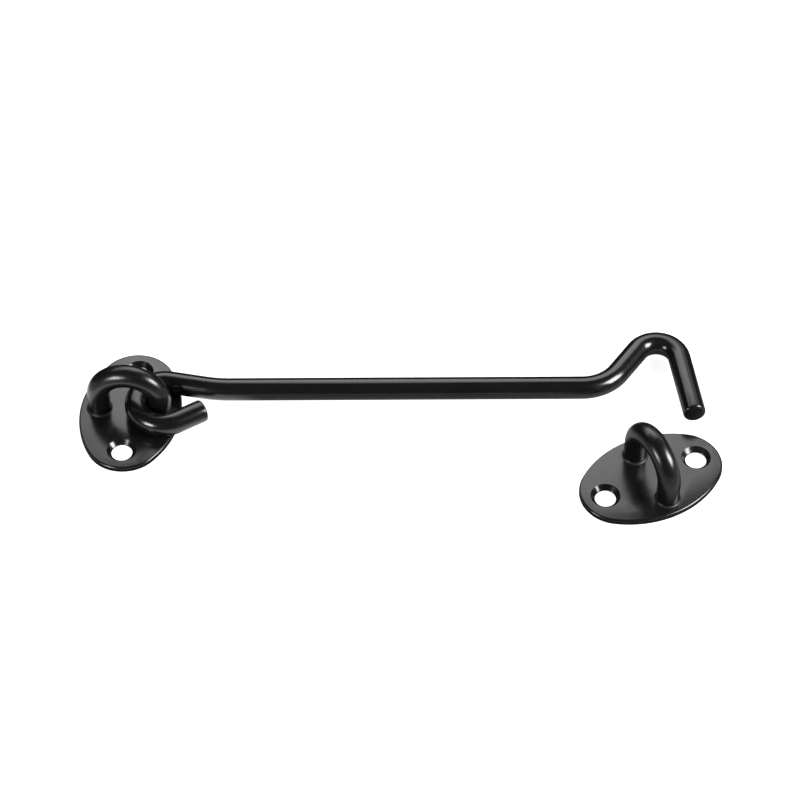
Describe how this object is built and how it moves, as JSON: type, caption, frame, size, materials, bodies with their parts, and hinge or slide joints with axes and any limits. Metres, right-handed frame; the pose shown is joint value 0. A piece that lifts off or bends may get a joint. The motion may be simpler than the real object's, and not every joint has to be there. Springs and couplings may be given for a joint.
{
  "type": "hook latch",
  "caption": "Hook latch: a bent wire hook swings on a staple plate and drops into the staple of a separate keeper plate.",
  "frame": {"origin": "middle of the hook plate's flat back face", "axes": "+Z away from the surface that the plates are screwed to, +Y along the hook plate's length, +X towards the keeper"},
  "size_m": [0.1699, 0.0624, 0.0181],
  "materials": {
    "plate_coat": "satin black coating",
    "wire_coat": "satin black coating"
  },
  "bodies": {
    "hook_base": {"hook_plate": "plate_coat", "hook_staple": "wire_coat"},
    "hook": {"hook_rod": "wire_coat"},
    "keeper": {"keeper_plate": "plate_coat", "keeper_staple": "wire_coat"}
  },
  "joints": [
    {"name": "hook_swing", "type": "hinge", "parent": "hook_base", "child": "hook", "pos_m": [0.0082, 0, 0.0048], "axis": [0, 0, 1], "range_deg": [0, 120]},
    {"name": "keeper_to_latch", "type": "hinge", "parent": "hook_base", "child": "keeper", "pos_m": [0.12267, 0.01229, 0], "axis": [0, 0, 1], "range_deg": [0, 70]}
  ]
}
